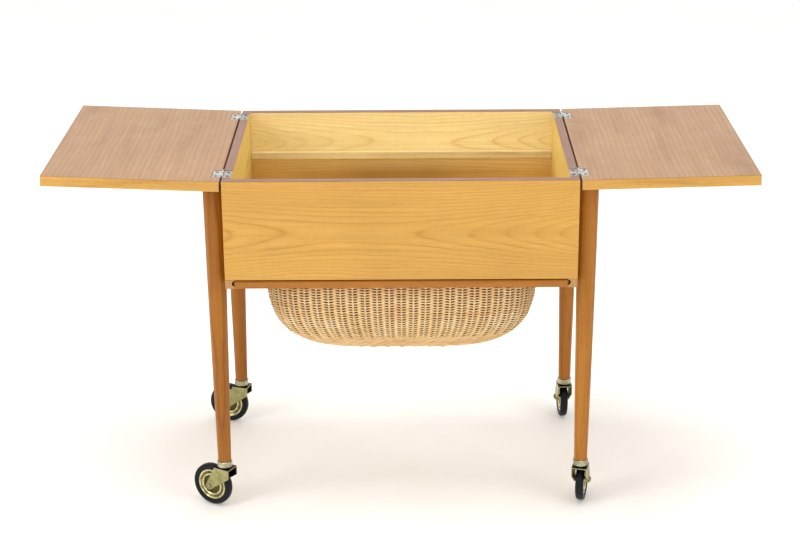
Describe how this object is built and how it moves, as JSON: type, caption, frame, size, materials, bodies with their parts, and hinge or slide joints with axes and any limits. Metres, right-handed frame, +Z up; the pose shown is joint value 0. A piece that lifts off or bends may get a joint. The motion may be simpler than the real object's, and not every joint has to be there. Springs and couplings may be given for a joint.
{
  "type": "sewing trolley",
  "caption": "Open wooden sewing box on round tapered legs and castors, with fold-over leaves and a wicker basket that slides out below.",
  "frame": {"origin": "on the floor, under the middle of the footprint, which lies a little behind the middle of the box because a rear wheel trails out behind", "axes": "+Z up, front (the side the basket slides out of) towards -Y, +X towards the right-hand leaf as seen from the front"},
  "size_m": [1.1448, 0.4487, 0.6065],
  "materials": {
    "honey_wood": "satin varnish over honey-coloured veneer",
    "leaf_wood": "satin varnish over pinkish tan veneer",
    "leg_wood": "satin varnish, orange brown",
    "pale_wood": "thin varnish, pale raw wood",
    "wicker": "woven cane, dull natural finish",
    "nickel": "bright plate, lightly dulled",
    "brass": "plated brass, tarnished in the recesses",
    "dark_steel": "dark oily steel",
    "rubber": "matt black rubber, slightly worn"
  },
  "bodies": {
    "trolley": {"front_panel": "honey_wood", "back_panel": "honey_wood", "side_panel_left": "honey_wood", "side_panel_right": "honey_wood", "floor_panel": "pale_wood", "ledge_front": "pale_wood", "ledge_back": "pale_wood", "runner_left": "pale_wood", "runner_right": "pale_wood", "leg_front_left": "leg_wood", "hinge_left_front_rim_plate": "nickel", "hinge_left_front_pin": "nickel", "leg_back_left": "leg_wood", "hinge_left_back_rim_plate": "nickel", "hinge_left_back_pin": "nickel", "leg_front_right": "leg_wood", "hinge_right_front_rim_plate": "nickel", "hinge_right_front_pin": "nickel", "leg_back_right": "leg_wood", "hinge_right_back_rim_plate": "nickel", "hinge_right_back_pin": "nickel", "castor_fl_ferrule": "nickel", "castor_fr_ferrule": "nickel", "castor_bl_ferrule": "nickel", "castor_br_ferrule": "nickel"},
    "leaf_left": {"leaf_left": "leaf_wood", "hinge_left_front_leaf_plate": "nickel", "hinge_left_back_leaf_plate": "nickel"},
    "leaf_right": {"leaf_right": "leaf_wood", "hinge_right_front_leaf_plate": "nickel", "hinge_right_back_leaf_plate": "nickel"},
    "basket_drawer": {"frame_front_rail": "leg_wood", "frame_back_rail": "leg_wood", "frame_side_left": "leg_wood", "frame_side_right": "leg_wood", "basket": "wicker"},
    "castor_fl_swivel": {"castor_fl_stem": "dark_steel", "castor_fl_fork": "brass", "castor_fl_axle": "dark_steel"},
    "castor_fl_wheel_body": {"castor_fl_wheel": "brass", "castor_fl_tyre": "rubber"},
    "castor_fr_swivel": {"castor_fr_stem": "dark_steel", "castor_fr_fork": "brass", "castor_fr_axle": "dark_steel"},
    "castor_fr_wheel_body": {"castor_fr_wheel": "brass", "castor_fr_tyre": "rubber"},
    "castor_bl_swivel": {"castor_bl_stem": "dark_steel", "castor_bl_fork": "brass", "castor_bl_axle": "dark_steel"},
    "castor_bl_wheel_body": {"castor_bl_wheel": "brass", "castor_bl_tyre": "rubber"},
    "castor_br_swivel": {"castor_br_stem": "dark_steel", "castor_br_fork": "brass", "castor_br_axle": "dark_steel"},
    "castor_br_wheel_body": {"castor_br_wheel": "brass", "castor_br_tyre": "rubber"}
  },
  "joints": [
    {"name": "leaf_left_hinge", "type": "hinge", "parent": "trolley", "child": "leaf_left", "pos_m": [-0.2865, -0.01125, 0.59525], "axis": [0, 1, 0], "range_deg": [0, 177.7]},
    {"name": "leaf_right_hinge", "type": "hinge", "parent": "trolley", "child": "leaf_right", "pos_m": [0.2865, -0.01125, 0.59525], "axis": [0, -1, 0], "range_deg": [0, 178.7]},
    {"name": "basket_slide", "type": "slide", "parent": "trolley", "child": "basket_drawer", "axis": [0, -1, 0], "range_m": [0, 0.3]},
    {"name": "castor_fl_turn", "type": "hinge", "parent": "trolley", "child": "castor_fl_swivel", "pos_m": [-0.3023, -0.18375, 0.076], "axis": [0, 0, 1], "continuous": true},
    {"name": "castor_fl_spin", "type": "hinge", "parent": "castor_fl_swivel", "child": "castor_fl_wheel_body", "pos_m": [-0.32482, -0.17075, 0.037], "axis": [-0.5, -0.866, 0], "continuous": true},
    {"name": "castor_fr_turn", "type": "hinge", "parent": "trolley", "child": "castor_fr_swivel", "pos_m": [0.3023, -0.18375, 0.076], "axis": [0, 0, 1], "continuous": true},
    {"name": "castor_fr_spin", "type": "hinge", "parent": "castor_fr_swivel", "child": "castor_fr_wheel_body", "pos_m": [0.30815, -0.15842, 0.037], "axis": [-0.9744, 0.225, 0], "continuous": true},
    {"name": "castor_bl_turn", "type": "hinge", "parent": "trolley", "child": "castor_bl_swivel", "pos_m": [-0.3023, 0.16125, 0.076], "axis": [0, 0, 1], "continuous": true},
    {"name": "castor_bl_spin", "type": "hinge", "parent": "castor_bl_swivel", "child": "castor_bl_wheel_body", "pos_m": [-0.32716, 0.16885, 0.037], "axis": [-0.2924, -0.9563, 0], "continuous": true},
    {"name": "castor_br_turn", "type": "hinge", "parent": "trolley", "child": "castor_br_swivel", "pos_m": [0.3023, 0.16125, 0.076], "axis": [0, 0, 1], "continuous": true},
    {"name": "castor_br_spin", "type": "hinge", "parent": "castor_br_swivel", "child": "castor_br_wheel_body", "pos_m": [0.30094, 0.18721, 0.037], "axis": [-0.9986, -0.0523, 0], "continuous": true}
  ]
}
